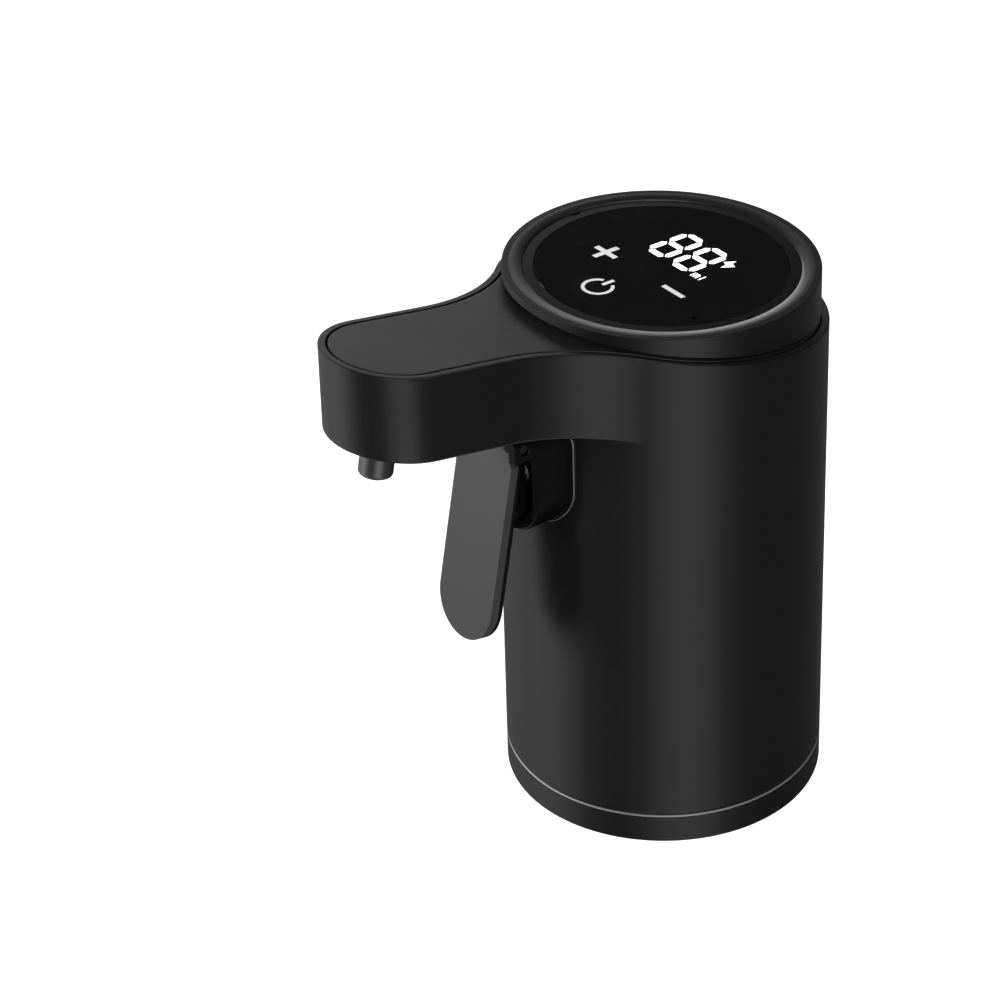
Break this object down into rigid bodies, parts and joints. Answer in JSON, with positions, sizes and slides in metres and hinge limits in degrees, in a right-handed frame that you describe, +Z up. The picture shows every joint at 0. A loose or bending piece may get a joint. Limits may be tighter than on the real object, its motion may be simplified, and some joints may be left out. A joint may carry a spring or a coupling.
{
  "type": "automatic wine dispenser",
  "caption": "Battery wine dispenser that stands on a bottle's neck, with a round touch display, an arm with a nozzle, and a hanging lever that the glass presses to start the pump.",
  "frame": {"origin": "centre of the bottle-neck bore at the underside of the base", "axes": "+Z up along the body, -Y towards the nozzle, +X to the user's right when facing the same way as the nozzle points away from the body's back"},
  "size_m": [0.052, 0.0878, 0.098],
  "materials": {
    "body_black": "fine matt",
    "cover_black": "satin",
    "crown_black": "satin",
    "gloss_black": "gloss",
    "lens_black": "mirror gloss",
    "trigger_black": "satin",
    "lever_black": "satin",
    "nozzle_black": "satin",
    "inner_black": "moulded",
    "inner_grey": "moulded",
    "white_plastic": "moulded",
    "silicone": "soft matt",
    "soft_black": "soft matt",
    "tube_clear": "soft",
    "steel": "bright",
    "motor_steel": "satin",
    "magnet": "matt",
    "copper": "wound",
    "battery_sleeve": "shrink sleeve",
    "board_green": "solder mask",
    "chip_black": "moulded"
  },
  "bodies": {
    "body": {"main_housing": "body_black", "base_cover": "body_black", "neck_socket": "inner_grey", "base_screws": "steel", "lip_gasket": "soft_black", "bottle_plug": "silicone", "intake_stem": "white_plastic", "stem_seal": "soft_black", "vent_valve": "soft_black", "chassis": "inner_black", "chassis_screws": "steel", "pump_body": "inner_grey", "pump_cover": "inner_grey", "pump_screws": "steel", "idler_axle": "steel", "shaft_seal": "soft_black", "motor_can": "motor_steel", "motor_magnets": "magnet", "motor_end_cap": "inner_black", "battery_cell": "battery_sleeve", "main_board": "board_green", "board_components": "chip_black", "charge_board": "board_green", "charge_socket": "steel", "micro_switch": "chip_black", "trigger_housing": "trigger_black", "trigger_screws": "steel", "hinge_pin": "steel", "plunger_spring": "steel", "nozzle": "nozzle_black", "nozzle_seal": "soft_black", "outlet_tube": "tube_clear", "tube_clip": "inner_black", "top_cover": "cover_black", "crown_ring": "crown_black", "crown_screws": "steel", "display_frame": "gloss_black", "display_lens": "lens_black", "display_board": "board_green", "digit_module": "white_plastic", "touch_springs": "steel"},
    "lever": {"trigger_lever": "lever_black"},
    "plunger": {"switch_plunger": "inner_grey"},
    "button": {"switch_button": "white_plastic"},
    "rotor": {"motor_rotor": "copper", "drive_gear": "white_plastic"},
    "second_gear": {"driven_gear": "white_plastic"}
  },
  "joints": [
    {"name": "lever_press", "type": "hinge", "parent": "body", "child": "lever", "pos_m": [0, -0.0336, 0.0755], "axis": [1, 0, 0], "range_deg": [0, 6], "stiffness_Nm_per_rad": 0.0135, "springref_deg": -11.46, "deforming": ["plunger_spring"]},
    {"name": "plunger_slide", "type": "slide", "parent": "body", "child": "plunger", "axis": [0, 1, 0], "range_m": [0, 0.001]},
    {"name": "button_slide", "type": "slide", "parent": "body", "child": "button", "axis": [0, 1, 0], "range_m": [0, 0.001]},
    {"name": "motor_spin", "type": "hinge", "parent": "body", "child": "rotor", "pos_m": [-0.004, 0.00425, 0.04], "axis": [0, 0, 1], "continuous": true},
    {"name": "second_gear_spin", "type": "hinge", "parent": "body", "child": "second_gear", "pos_m": [-0.004, -0.00425, 0.04], "axis": [0, 0, 1], "continuous": true}
  ],
  "couplings": [
    {"joint": "plunger_slide", "follows": "lever_press", "m_per_rad": 0.0095},
    {"joint": "button_slide", "follows": "lever_press", "m_per_rad": 0.0095},
    {"joint": "second_gear_spin", "follows": "motor_spin", "ratio": -1}
  ]
}
